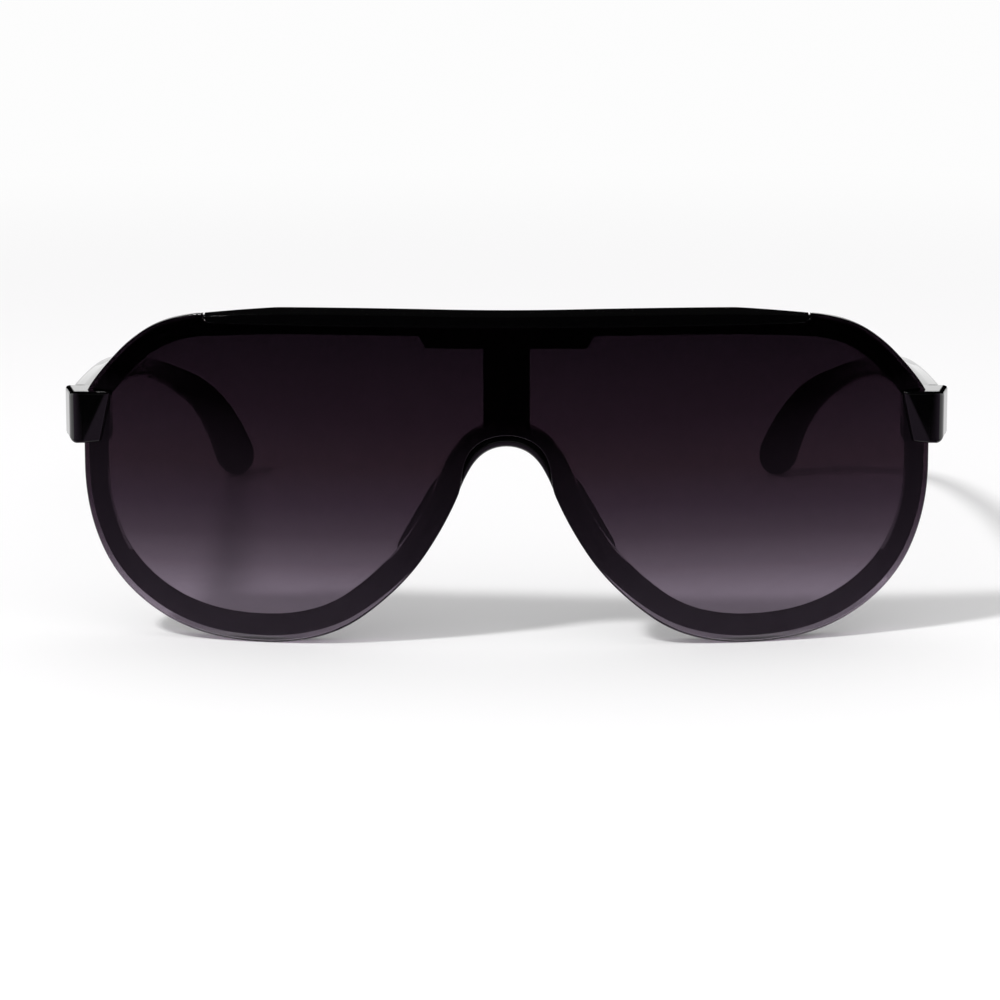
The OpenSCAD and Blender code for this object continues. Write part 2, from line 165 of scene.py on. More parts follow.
class BrowSizes(bpy.types.PropertyGroup):
    width: size("Width", 2 * BROW_BOX[1].x, "Width of the brow bar")
    height: size("Height", 0.0021, "Height of its front face at the middle")
    thickness: size("Thickness", 0.0013, "Thickness of its front face")
    cap: size("Cap", 0.0009, "Thickness of the flange over the lens edge")
    bevel: size("Bevel", 0.0009, "Rounding along the lower front edge")
    top_slope: angle("Top slope", 1.8, "Slope of the top, down towards the front")
    top_depth: size("Top depth", 0.0005, "How far under the outline the top reaches")
    top_round: size("Top round", 0.00035, "Rounding of the upper front edge")
    corner_share: level("Corner share", 0.6, "Radius of the lower corners, as a share of height")
    head_diameter: size("Head diameter", 0.0022, "Diameter of the pegs' staked heads")
    head_thickness: size("Head thickness", 0.0005, "Thickness of the pegs' staked heads")
    head_round: size("Head round", 0.00035, "Rounding of the pegs' staked heads")
    head_gap: size("Head gap", 0.00006, "Clearance between the heads and the rims")
    peg_diameter: size("Peg diameter", 0.0012, "Diameter of the pegs")
    peg_length: size("Peg length", 0.0025, "Length of the pegs, up to half of their heads")
    peg_drop: size("Peg drop", 0.00244, "From the top of the bar to the middle of a peg")
    end_run: size("End run", 0.012, "Length over which the top narrows to the lens at the ends")


class TempleSizes(bpy.types.PropertyGroup):
    length: size("Length", 0.1325, "Length from the hinge face to the last control point")
    drop: size("Drop", 0.0328, "How far the tip drops below the hinge line")
    tuck: size("Tuck", 0.0174, "How far the tip tucks in towards the head")
    thickness: size("Thickness", 0.0032, "Thickness at the hinge")
    tip_thickness: size("Tip thickness", 0.0029, "Thickness of the tip")
    root_height: size("Root height", 0.0088, "Height at the hinge")
    waist: size("Waist", 0.0038, "Height of the narrow middle stretch")
    paddle: size("Paddle", 0.0078, "Height of the broad tip behind the ear")
    tip_length: size("Tip length", 0.0046, "Length of the rounded end")
    root_step: size("Root step", 0.0005, "How much lower the temple is than the endpiece there")
    root_round: size("Root round", 0.0003, "Rounding of the end at the hinge")
    edge_share: level("Edge share", 0.36, "Radius of the long edges, as a share of the thickness")


class HingeSizes(bpy.types.PropertyGroup):
    barrel_diameter: size("Barrel diameter", 0.0026, "Outside diameter of the barrel")
    barrel_height: size("Barrel height", 0.006, "Height of the whole barrel")
    knuckle_gap: size("Knuckle gap", 0.00005, "Clearance between two knuckles")
    leaf_thickness: size("Leaf thickness", 0.0009, "Thickness of the leaves")
    leaf_length: size("Leaf length", 0.0105, "Length of the leaf along the temple")
    leaf_sink: size("Leaf sink", 0.00002, "How far the leaf sinks into the temple")
    plate_width: size("Plate width", 0.0034, "Width of the plate sunk in the endpiece")
    plate_proud: size("Plate proud", 0.0002, "How far the plate stands out of the endpiece")
    screw_diameter: size("Screw diameter", 0.0012, "Diameter of the screw")
    screw_play: size("Screw play", 0.00006, "How much wider the bores are than the screw")
    screw_head: size("Screw head", 0.0022, "Diameter of the screw head")
    screw_head_thickness: size("Screw head thickness", 0.0005, "Thickness of the screw head")
    screw_head_round: size("Screw head round", 0.0002, "Rounding of the screw head")
    slot_width: size("Slot width", 0.0004, "Width of the screw slot")
    rivet_diameter: size("Rivet diameter", 0.0011, "Diameter of the rivets")
    rivet_head: size("Rivet head", 0.0019, "Diameter of the rivet heads")
    rivet_head_thickness: size("Rivet head thickness", 0.0004, "Height of the domed rivet heads")
    rivet_head_round: size("Rivet head round", 0.00032, "Rounding of the domed rivet heads")
    rivet_length: size("Rivet length", 0.0024, "Length of the rivets from half of their heads")
    rivet_first: size("First rivet", 0.0042, "From the hinge axis to the first rivet")
    rivet_step: size("Rivet step", 0.004, "From one rivet to the next")
    edge_round: size("Edge round", 0.00012, "Rounding of the metal edges")


class Finishes(bpy.types.PropertyGroup):
    plastic: tint("Plastic", (0.0007, 0.0007, 0.0008), "Colour of the black plastic")
    plastic_roughness: level("Plastic roughness", 0.025, "Roughness of the polished plastic")
    plastic_spread: level("Plastic spread", 0.03, "How much that roughness varies")
    plastic_ripple: level("Plastic ripple", 0.02, "Strength of the plastic's fine ripple")
    plastic_grain: level("Plastic grain", 160.0, "Scale of the plastic's marks")
    steel: tint("Steel", (0.60, 0.60, 0.61), "Colour of the hinge steel")
    steel_roughness: level("Steel roughness", 0.28, "Roughness of the hinge steel")
    steel_spread: level("Steel spread", 0.16, "How much that roughness varies")
    steel_ripple: level("Steel ripple", 0.25, "Strength of the steel's fine grain")
    steel_grain: level("Steel grain", 900.0, "Scale of the hinge steel's marks")
    fastener: tint("Fastener", (0.70, 0.70, 0.71), "Colour of the screws and rivets")
    fastener_roughness: level("Fastener roughness", 0.196, "Roughness of the fasteners")
    fastener_grain: level("Fastener grain", 1400.0, "Scale of the fasteners' marks")
    ripple_depth: size("Ripple depth", 0.0001, "Depth of a full ripple")
    lens_ior: level("Lens IOR", 1.5, "Index of refraction of the lens")


class StageSizes(bpy.types.PropertyGroup):
    floor_width: size("Floor width", 12.0, "Width of the floor")
    # Painted shade and light: the floor is painted darker near the key light and lighter away from
    # it, to make up for how the key light falls off
    floor_dimmed_near_key: tint("Floor left", (0.925, 0.92, 0.925), "Colour of the floor near the key light")
    floor_lifted_from_key: tint("Floor right", (0.985, 0.98, 0.985), "Colour of the floor away from it")
    floor_blend: size("Floor blend", 0.15, "Half the width over which those colours blend")
    floor_near: size("Floor near", 0.25, "Where the floor starts to fade to the white background")
    floor_far: size("Floor far", 0.6, "Where the floor has faded to the white background")
    # Painted reflection: a sheet that only polished surfaces show, grey beside the lens and
    # darkening to black away from it
    reflection_card_near: tint("Card near", (0.29, 0.215, 0.31), "Colour of the grey card beside the lens")
    reflection_card_far: tint("Card far", (0.001, 0.001, 0.001), "Colour of the grey card at its far edge")
    reflection_card_fade: size("Card reach", 0.20, "Length over which the grey card darkens")
    card_width: size("Card width", 2.0, "Width of the grey card")
    card_lift: size("Card lift", 0.0003, "Height of the grey card over the floor")
    camera_distance: size("Camera distance", 0.7, "Distance of the camera from the lens")
    camera_height: angle("Camera elevation", 11.5, "Angle of the camera above the floor")
    focal_length: level("Focal length", 151.2, "Focal length of the camera in millimetres")
    aim_height: size("Aim height", 0.02523, "Height of the point that the camera looks at")
    camera_shift: FloatProperty(name="Camera shift", default=-0.00655,
                                description="Sideways shift, as a share of the picture's width")
    key_place: place("Key place", (-0.784, APEX_Y - 0.686, 1.239), "Place of the key light")
    key_width: size("Key width", 0.2, "Width of the key light")
    key_power: level("Key power", 13.9, "Power of the key light in watts")
    background: level("Background", 0.98, "Brightness of the white background")
    world: level("World", 0.70, "Strength of the light from all round")
    # Painted reflections: a dark room and a bright low wall that only glossy rays see, which light
    # nothing
    painted_room_reflection: level("Mirror room", 0.004, "What polished surfaces show of the room above")
    painted_wall_reflection: level("Mirror wall", 1.36, "What polished surfaces show of the low wall")
    wall_half: level("Wall half", 0.13, "Where that wall starts to fade to the sides, as a sine")
    wall_end: level("Wall end", 0.195, "Where it ends to either side, as a sine")
    wall_soft: level("Wall soft", 0.83, "Where that wall is full, as a share of its top")
    wall_blend: level("Wall blend", 0.1, "Where that wall turns darker behind, as a sine")
    wall_behind: level("Wall behind", 0.18, "What is left of that wall behind the camera")
    # Painted highlight: a bright disc round the key light's direction, wider than the lamp, seen
    # only by glossy rays
    painted_key_glint: level("Mirror key", 4.0, "What polished surfaces show of the key light's panel")
    wall_top: angle("Wall top", 8.7, "Height of that wall, as an angle")
    painted_glint_outer: angle("Panel outer", 12.0, "Angle from the key light at which its panel ends")
    painted_glint_inner: angle("Panel inner", 8.0, "Angle from the key light at which it is full")


SIZES = {
    "lens": LensSizes, "rims": FrameSizes, "nose": NoseSizes, "endpiece": EndpieceSizes,
    "brow": BrowSizes, "temple": TempleSizes, "hinge": HingeSizes, "finish": Finishes,
    "stage": StageSizes,
}


def sizes(group):
    """The sizes of one group of pieces, as the panel shows them"""
    return getattr(bpy.context.scene, f"sunglasses_{group}")


# Lines in X and Z, laid out flat

BROW_SHARES = [(0, 0.997), (0.08, 0.997), (0.24, 1), (0.42, 1), (0.6, 0.996), (0.831, 0.973),
               (0.998, 0.75), (1, 0.662), (1, 0.373), (0.914, 0.145), (0.719, 0), (0.432, 0),
               (0.245, 0.175)]
NOSE_SHARES = [(0.136, 0.381), (0.069, 0.602), (0, 0.602)]
PEG_SHARES = (-0.28, -0.1, 0.1, 0.28)
BROW_FOOT = 0.8  # Share of the lens height above which its outline belongs to the brow
LINE_STEP = 0.0008  # From one point of the outline to the next
SLICE = 0.002  # Width of the strips in which a flat piece is bent
CURVE_STEPS = 24
TEMPLE_STEPS = 20
ARC_STEPS = 10

OVERLAP = 0.0004  # How far shapes of one piece reach into each other
SLIVER = 0.0001  # The least width that a fading shape keeps
HAIR = 1e-6  # Points closer than this count as level with each other
ROUND_MOST = 0.49  # Share of a width that one of its two roundings may take
PAST = 0.01  # How far a cutter reaches past what it cuts
TURN = 20.0  # Edges that turn less, in degrees, aren't rounded
CREASE = 60.0  # Edges that turn more, in degrees, are corners of a piece
KNUCKLES = 5
CLIP = (0.01, 50.0)  # Nearest and furthest that the camera sees


def smooth_line(points, steps):
    """A quadratic curve that follows a polygon of control points"""
    points = [Vector(p) for p in points]
    last = len(points) - 1
    line = []
    for i in range(1, last):
        a = points[0] if i == 1 else (points[i - 1] + points[i]) / 2
        b = points[i]
        c = points[last] if i == last - 1 else (points[i] + points[i + 1]) / 2
        for k in range(steps):
            t = k / steps
            line.append(a * (1 - t) ** 2 + b * (2 * t * (1 - t)) + c * t * t)
    return line + [points[last]]


def even_line(line, step):
    """The same line with its points spread evenly"""
    reach = [0.0]
    for a, b in zip(line, line[1:]):
        reach.append(reach[-1] + (b - a).length)
    count = max(2, round(reach[-1] / step))
    spread, k = [], 0
    for i in range(count + 1):
        goal = reach[-1] * i / count
        while k < len(line) - 2 and reach[k + 1] < goal:
            k += 1
        t = (goal - reach[k]) / (reach[k + 1] - reach[k])
        spread.append(line[k].lerp(line[k + 1], min(1.0, t)))
    return spread


def lens_outline():
    """The outline of the lens, clockwise from the middle of the brow"""
    lens = sizes("lens")
    half, high = lens.width / 2, lens.height
    control = [(x * half, z * high) for x, z in BROW_SHARES + NOSE_SHARES]
    right = even_line(smooth_line(control, CURVE_STEPS), LINE_STEP)
    return right + [Vector((-p.x, p.y)) for p in reversed(right[1:-1])]


def over_brow(p):
    """Whether a point of the outline lies along the brow, and not round the nose"""
    return p.y > BROW_FOOT * sizes("lens").height


def inset(loop, amount):
    """A closed line moved into the material, by one length or by a list of them"""
    count = len(loop)
    moved = []
    for i, p in enumerate(loop):
        t = (loop[(i + 1) % count] - loop[i - 1]).normalized()
        a = amount[i] if isinstance(amount, list) else amount
        moved.append(p + Vector((t.y, -t.x)) * a)
    return moved


def from_nose(loop):
    """Length along a closed outline from the top of the nose arch to each of its points"""
    top = min(range(1, len(loop)), key=lambda i: abs(loop[i].x))
    reach = [0.0] * len(loop)
    for step in (1, -1):
        total, i = 0.0, top
        for _ in range(len(loop) // 2):
            following = (i + step) % len(loop)
            total += (loop[following] - loop[i]).length
            i = following
            reach[i] = total
    return reach


def fade(value, low, high):
    """1 below low, 0 above high, and smooth between them"""
    t = min(1.0, max(0.0, (value - low) / (high - low)))
    return 1 - t * t * (3 - 2 * t)


def arc(middle, radius, start, turn=90, steps=ARC_STEPS):
    """Points of an arc, from an angle on through a turn in degrees"""
    angles = [math.radians(start + turn * k / steps) for k in range(steps + 1)]
    return [(middle[0] + radius * math.cos(a), middle[1] + radius * math.sin(a)) for a in angles]


# Work on meshes

def deselect():
    """Leaves nothing selected, in object mode"""
    if bpy.context.mode != "OBJECT":
        bpy.ops.object.mode_set(mode="OBJECT")
    bpy.ops.object.select_all(action="DESELECT")


def activate(piece):
    """Selects one piece alone"""
    deselect()
    piece.select_set(True)
    bpy.context.view_layer.objects.active = piece


def named(name):
    """Names the primitive that was just added"""
    piece = bpy.context.object
    piece.name = piece.data.name = name
    return piece


def plate(name, loop, front, back):
    """A flat plate with an outline in X and Z, between two depths"""
    deselect()
    bpy.ops.mesh.primitive_circle_add(vertices=len(loop), fill_type="NGON")
    piece = named(name)
    for vertex, p in zip(piece.data.vertices, loop):
        vertex.co = (p[0], front, p[1])
    bpy.ops.object.mode_set(mode="EDIT")
    bpy.ops.mesh.select_all(action="SELECT")
    bpy.ops.mesh.extrude_region_move(TRANSFORM_OT_translate={"value": (0, back - front, 0)})
    bpy.ops.mesh.select_all(action="SELECT")
    bpy.ops.mesh.normals_make_consistent(inside=False)
    deselect()
    return piece


def sleeve(name, rows):
    """A tube through rows of points, closed at both ends"""
    deselect()
    bpy.ops.mesh.primitive_grid_add(x_subdivisions=len(rows[0]), y_subdivisions=len(rows) - 1)
    piece = named(name)
    for vertex, p in zip(piece.data.vertices, [p for row in rows for p in [*row, row[0]]]):
        vertex.co = p
    bpy.ops.object.mode_set(mode="EDIT")
    bpy.ops.mesh.select_all(action="SELECT")
    bpy.ops.mesh.remove_doubles(threshold=1e-7)
    bpy.ops.mesh.select_all(action="DESELECT")
    bpy.ops.mesh.select_mode(type="EDGE")
    bpy.ops.mesh.select_non_manifold()
    bpy.ops.mesh.fill_holes(sides=0)
    bpy.ops.mesh.select_all(action="SELECT")
    bpy.ops.mesh.normals_make_consistent(inside=False)
    deselect()
    return piece


def box(name, low, high):
    """A cube between two corners"""
    low, high = Vector(low), Vector(high)
    deselect()
    bpy.ops.mesh.primitive_cube_add(size=1, location=(low + high) / 2, scale=high - low)
    piece = named(name)
    bpy.ops.object.transform_apply(location=True, rotation=True, scale=True)
    return piece


def rod(name, middle, diameter, length, turn=(0, 0, 0), sides=64):
    """A cylinder round a point"""
    deselect()
    bpy.ops.mesh.primitive_cylinder_add(vertices=sides, radius=diameter / 2, depth=length,
                                        location=middle, rotation=turn)
    piece = named(name)
    bpy.ops.object.transform_apply(location=True, rotation=True, scale=True)
    return piece


def corner(edge):
    """Angle between the two faces of an edge, in degrees"""
    return math.degrees(edge.calc_face_angle(0.0))


def is_corner(edge):
    """Whether an edge is a corner of a piece"""
    return corner(edge) > CREASE


def is_level(edge, axis):
    """Whether both ends of an edge are at the same place along an axis"""
    return abs(edge.verts[0].co[axis] - edge.verts[1].co[axis]) < HAIR


def round_edges(piece, chosen, width, segments=3):
    """Bevels the edges that chosen(edge, middle) picks"""
    activate(piece)
    bpy.ops.object.mode_set(mode="EDIT")
    bpy.ops.mesh.select_mode(type="EDGE")
    bpy.ops.mesh.select_all(action="DESELECT")
    bm = bmesh.from_edit_mesh(piece.data)
    for edge in bm.edges:
        middle = (edge.verts[0].co + edge.verts[1].co) / 2
        if corner(edge) > TURN and chosen(edge, middle):
            edge.select = True
    bmesh.update_edit_mesh(piece.data)
    bpy.ops.mesh.bevel(offset=width, segments=segments, affect="EDGES", clamp_overlap=True)
    deselect()


def round_by_width(piece, width_of, segments=5):
    """Rounds every edge at once, each by the width that width_of(edge, middle) gives"""
    activate(piece)
    bpy.ops.object.mode_set(mode="EDIT")
    bm = bmesh.from_edit_mesh(piece.data)
    layer = bm.edges.layers.float.new("bevel_weight_edge")
    widths = [width_of(edge, (edge.verts[0].co + edge.verts[1].co) / 2) for edge in bm.edges]
    widest = max(widths)
    for edge, width in zip(bm.edges, widths):
        edge[layer] = width / widest
    bmesh.update_edit_mesh(piece.data)
    modifier = piece.modifiers.new("Round", "BEVEL")
    modifier.limit_method = "WEIGHT"
    modifier.width, modifier.segments = widest, segments
    modifier.use_clamp_overlap = False
    activate(piece)
    bpy.ops.object.modifier_apply(modifier=modifier.name)


def cut_plane(piece, point, normal, fill=True):
    """Takes away what lies on the side of a plane that its normal points to"""
    activate(piece)
    bpy.ops.object.mode_set(mode="EDIT")
    bpy.ops.mesh.select_all(action="SELECT")
    bpy.ops.mesh.bisect(plane_co=point, plane_no=normal, use_fill=fill, clear_outer=fill)
    deselect()


def slice_across(piece, step=SLICE):
    """Cuts a flat piece into upright strips, so that it can be bent"""
    xs = [v.co.x for v in piece.data.vertices]
    activate(piece)
    bpy.ops.object.mode_set(mode="EDIT")
    count = math.ceil(max(xs) / step)
    for k in range(-count, count + 1):
        if min(xs) < k * step < max(xs):
            bpy.ops.mesh.select_all(action="SELECT")
            bpy.ops.mesh.bisect(plane_co=(k * step, 0, 0), plane_no=(1, 0, 0))
    deselect()


def combine(piece, other, operation):
    """Unites two pieces, or cuts one with the other, which is used up"""
    modifier = piece.modifiers.new("Combine", "BOOLEAN")
    modifier.object = other
    modifier.operation = operation
    modifier.solver = "EXACT"
    activate(piece)
    bpy.ops.object.modifier_apply(modifier=modifier.name)
    bpy.data.objects.remove(other)


def join(pieces):
    """Makes one object of several"""
    deselect()
    for piece in pieces:
        piece.select_set(True)
    bpy.context.view_layer.objects.active = pieces[0]
    bpy.ops.object.join()
    return pieces[0]


def wall_y(depth, x):
    """Y of a point at a depth behind the curved front of the lens"""
    lens = sizes("lens")
    return APEX_Y + lens.radius - math.sqrt((lens.radius - depth) ** 2 - x * x)


def wrap(piece):
    """Bends a piece whose Y was its depth, so that it follows the lens"""
    for vertex in piece.data.vertices:
        vertex.co.y = wall_y(vertex.co.y, vertex.co.x)
    return piece


def mirrored(piece, name):
    """A copy of a piece for the left side"""
    copy = piece.copy()
    copy.data = piece.data.copy()
    copy.name = copy.data.name = name
    bpy.context.scene.collection.objects.link(copy)
    copy.data.transform(Matrix.Scale(-1, 4, (1, 0, 0)))
    copy.data.flip_normals()
    return copy


def dress(piece, body, nodes, slot, material, smooth=32.0):
    """Smooths a finished piece, gives it its material and puts it on its body"""
    piece.data.materials.clear()
    piece.data.materials.append(material)
    activate(piece)
    bpy.ops.object.shade_smooth_by_angle(angle=math.radians(smooth))
    weigh = piece.modifiers.new("Weigh", "WEIGHTED_NORMAL")
    weigh.keep_sharp = True
    bpy.ops.object.modifier_apply(modifier=weigh.name)
    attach(piece, body)
    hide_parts(*nodes)


# Materials

def feed(node, given):
    """Gives the inputs of a node their values, or links them to the outputs that feed them"""
    for socket, value in given.items():
        if isinstance(value, bpy.types.NodeSocket):
            node.id_data.links.new(value, node.inputs[socket])
        else:
            node.inputs[socket].default_value = value


def add(tree, kind, given=None, **settings):
    """Adds a node with its settings and what its inputs are given"""
    node = tree.nodes.new(kind)
    for field, value in settings.items():
        setattr(node, field, value)
    feed(node, given or {})
    return node


def new_material(name):
    """A node material with its Principled shader"""
    material = bpy.data.materials.new(name)
    material.use_nodes = True
    return material, material.node_tree, material.node_tree.nodes["Principled BSDF"]


def surface_marks():
    """Node group: a soft mottle in the roughness and a fine ripple, as moulded plastic has"""
    if "Surface marks" in bpy.data.node_groups:
        return bpy.data.node_groups["Surface marks"]
    group = bpy.data.node_groups.new("Surface marks", "ShaderNodeTree")
    for way, names in (("INPUT", ("Scale", "Roughness", "Spread")),
                       ("OUTPUT", ("Roughness", "Height"))):
        for name in names:
            group.interface.new_socket(name, in_out=way, socket_type="NodeSocketFloat")
    given = add(group, "NodeGroupInput").outputs
    at = add(group, "ShaderNodeTexCoord").outputs["Object"]
    wide = add(group, "ShaderNodeTexNoise", {"Vector": at, "Scale": given["Scale"], "Detail": 4.0})
    closer = add(group, "ShaderNodeMath", {0: given["Scale"], 1: 6.0}, operation="MULTIPLY")
    fine = add(group, "ShaderNodeTexNoise", {"Vector": at, "Scale": closer.outputs[0],
                                             "Detail": 2.0})
    mottle = add(group, "ShaderNodeMath", {0: wide.outputs["Fac"], 1: given["Spread"],
                                           2: given["Roughness"]}, operation="MULTIPLY_ADD")
    add(group, "NodeGroupOutput", {"Roughness": mottle.outputs[0], "Height": fine.outputs["Fac"]})
    return group


def mark(shader, scale, roughness, spread, ripple):
    """Adds the surface marks to a shader"""
    tree = shader.id_data
    marks = add(tree, "ShaderNodeGroup", {"Scale": scale, "Roughness": roughness,
                                          "Spread": spread}, node_tree=surface_marks())
    bump = add(tree, "ShaderNodeBump", {"Strength": ripple, "Height": marks.outputs["Height"],
                                        "Distance": sizes("finish").ripple_depth})
    feed(shader, {"Roughness": marks.outputs["Roughness"], "Normal": bump.outputs["Normal"]})


def black_plastic():
    """Polished black plastic"""
    if "Black plastic" in bpy.data.materials:
        return bpy.data.materials["Black plastic"]
    finish = sizes("finish")
    material, _, shader = new_material("Black plastic")
    feed(shader, {"Base Color": (*finish.plastic, 1)})
    mark(shader, finish.plastic_grain, finish.plastic_roughness, finish.plastic_spread,
         finish.plastic_ripple)
    return material


def steel(name, colour, roughness, grain):
    """Satin steel with a fine brushed grain"""
    finish = sizes("finish")
    material, _, shader = new_material(name)
    feed(shader, {"Base Color": (*colour, 1), "Metallic": 1.0})
    mark(shader, grain, roughness, finish.steel_spread, finish.steel_ripple)
    return material


# Light that the lens lets through, from its foot to its brow: share of height and colour
LENS_STOPS = [(0.0, (0.30, 0.255, 0.31)), (0.15, (0.19, 0.155, 0.197)),
              (0.24, (0.096, 0.074, 0.097)), (0.33, (0.047, 0.033, 0.046)),
              (0.42, (0.0272, 0.0168, 0.0262)), (0.54, (0.0178, 0.0094, 0.014)),
              (0.66, (0.0138, 0.0074, 0.0123)), (0.91, (0.0065, 0.0037, 0.0064))]


def smoke_glass():
    """The smoke lens: dark at the brow, lighter towards its foot"""
    material, tree, shader = new_material("Smoke lens")
    at = add(tree, "ShaderNodeTexCoord").outputs["Object"]
    parts = add(tree, "ShaderNodeSeparateXYZ", {0: at})
    share = add(tree, "ShaderNodeMapRange", {"Value": parts.outputs["Z"],
                                             "From Max": sizes("lens").height})
    ramp = add(tree, "ShaderNodeValToRGB", {"Fac": share.outputs["Result"]})
    stops = ramp.color_ramp.elements
    while len(stops) < len(LENS_STOPS):
        stops.new(0.5)
    for stop, (where, colour) in zip(stops, LENS_STOPS):
        stop.position = where
        stop.color = (*colour, 1)
    smoke = ramp.outputs["Color"]
    feed(shader, {"Base Color": smoke, "Roughness": 0.0, "IOR": sizes("finish").lens_ior,
                  "Transmission Weight": 1.0})
    # Shadows take the tint of the lens
    rays = add(tree, "ShaderNodeLightPath")
    clear = add(tree, "ShaderNodeBsdfTransparent", {"Color": smoke})
    both = add(tree, "ShaderNodeMixShader", {0: rays.outputs["Is Shadow Ray"],
                                             1: shader.outputs[0], 2: clear.outputs[0]})
    feed(tree.nodes["Material Output"], {"Surface": both.outputs[0]})
    return material


# Pieces

def stepped(loop, end, seat):
    """The outline with a step down along the brow, between -end and end, for the bar's flange"""
    made = []
    for i, p in enumerate(loop):
        under = abs(p.x) < end and over_brow(p)
        made.append(Vector((p.x, p.y - seat)) if under else p)
        q = loop[(i + 1) % len(loop)]
        if over_brow(p) and over_brow(q) and under != (abs(q.x) < end):
            at = p.lerp(q, (end - abs(p.x)) / (abs(q.x) - abs(p.x)))
            low = Vector((at.x, at.y - seat))
            made += [low, at] if under else [at, low]
    return made


def build_lens():
    """The curved lens, with a polished edge"""
    lens, nose, brow = sizes("lens"), sizes("nose"), sizes("brow")
    base = lens_outline()
    loop = inset(base, [(nose.bead_width + lens.gap) * fade(r, nose.bead_from, nose.bead_to)
                        for r in from_nose(base)])
    end = brow.width / 2 + lens.gap
    seat = brow.cap + lens.gap
    loop = stepped(loop, end, seat)
    piece = plate("lens", loop, 0.0, lens.thickness)
    round_edges(piece, lambda edge, middle: is_corner(edge) and is_level(edge, 1),
                lens.edge_round)
    slice_across(piece, 0.75 * SLICE)
    dress(wrap(piece), "front", ["shield_lens"], "lens_smoke", smoke_glass(), smooth=40.0)


def bridge_loop():
    """Outline of the band over the eyes, the bridge bar and the wings at its head"""
    lens, rims = sizes("lens"), sizes("rims")
    top, band = 2 * lens.height, lens.height - rims.top_band
    half, bar, wing = lens.width, rims.bridge_width / 2, rims.wing_width / 2
    foot = band - rims.wing_height
    right = [(half, top), (half, band), (wing, band), (wing - rims.wing_chamfer, foot),
             (bar, foot), (bar, -lens.height)]
    return right + [(-x, z) for x, z in reversed(right)]


def build_rims(outer):
    """The rims with the band over the eyes and the bridge bar, still flat"""
    lens, rims = sizes("lens"), sizes("rims")
    front = lens.thickness + lens.gap
    back = front + rims.rim_thickness
    eyes = plate("eyes", inset(lens_outline(), rims.rim_width), front - PAST, back + PAST)
    bridge = plate("bridge", bridge_loop(), front - 2 * PAST, back + 2 * PAST)
    combine(eyes, bridge, "DIFFERENCE")
    round_edges(eyes, lambda edge, middle: not is_level(edge, 1), rims.eye_fillet, 5)
    piece = plate("rims", outer, front, back)
    combine(piece, eyes, "DIFFERENCE")

    def level_at(depth):
        return lambda edge, middle: is_corner(edge) and all(
            abs(v.co.y - depth) < HAIR for v in edge.verts)
    round_edges(piece, level_at(back), rims.rear_round, 4)
    round_edges(piece, level_at(front), rims.front_round, 2)
    slice_across(piece)
    return piece


def arch_section(reach):
    """The arch cut across at a length from its top: distance from the nose against depth"""
    lens, rims, nose = sizes("lens"), sizes("rims"), sizes("nose")
    rim_front = lens.thickness + lens.gap
    rim_back = rim_front + rims.rim_thickness
    on = fade(reach, nose.fade_from, nose.fade_to)
    bead = fade(reach, nose.bead_from, nose.bead_to)
    hold = min(1.0, nose.bead_hold * bead)
    low = nose.bead_sink * hold + (rim_front + OVERLAP) * (1 - hold)
    high = rim_back + nose.saddle_depth * on - OVERLAP * (1 - on)
    # Where the arch ends it draws back inside the rims
    tuck = (rims.lip + OVERLAP - SLIVER) * (1 - on)
    far = max(tuck + SLIVER, nose.bead_width * bead)
    small = min(nose.bead_round, ROUND_MOST * (far - tuck))
    big = nose.wall_round
    front_steps, back_steps = 6, 5
    shape = arc((tuck + small, low + small), small, 180, steps=front_steps)
    shape += arc((far - small, low + small), small, 270, steps=front_steps)
    shape.append((far, max(rim_front - SLIVER, low + small)))
    shape.append((max(nose.wall, far), max(rim_front + OVERLAP - SLIVER, low + small)))
    shape += arc((nose.wall - big, high - big), big, 0, steps=back_steps)
    shape += arc((tuck + big, high - big), big, 90, steps=back_steps)
    return shape


def build_arch(outer):
    """The nose arch: a bead in front of the lens and a saddle behind the rims, still flat"""
    # A metre further in, so that the way from one to the other has a length of 1
    inner = inset(outer, 1.0)
    rows = []
    for p, q, reach in zip(outer, inner, from_nose(outer)):
        if reach <= sizes("nose").fade_to:
            away = q - p
            rows.append([Vector((p.x + away.x * n, d, p.y + away.y * n))
                         for n, d in arch_section(reach)])
    return sleeve("arch", rows)


def build_pad():
    """The right nose pad, a plate with round ends that opens to the back"""
    lens, nose, rims = sizes("lens"), sizes("nose"), sizes("rims")
    radius = nose.pad_depth / 2 - rims.eye_fillet
    near, far, end = radius, nose.pad_depth - radius, nose.pad_length / 2 - radius
    loop = (arc((far, end), radius, 0) + arc((near, end), radius, 90) +
            arc((near, -end), radius, 180) + arc((far, -end), radius, 270))
    piece = plate("pad", loop, 0.0, nose.pad_thickness)
    round_edges(piece, lambda edge, middle: is_corner(edge), nose.pad_round, 4)
    # The plate lies in X and Z; its thickness turns to X and its width to Y
    piece.data.transform(Matrix(((0, 1, 0, 0), (1, 0, 0, 0), (0, 0, 1, 0), (0, 0, 0, 1))))
    piece.data.flip_normals()
    piece.data.transform(Matrix.Rotation(-nose.pad_flare, 4, "Z"))
    piece.data.transform(Matrix.Rotation(-nose.pad_lean, 4, "Y"))
    piece.data.transform(Matrix.Translation(
        (nose.pad_x, wall_y(lens.thickness + lens.gap, nose.pad_x), nose.pad_z)))
    return piece


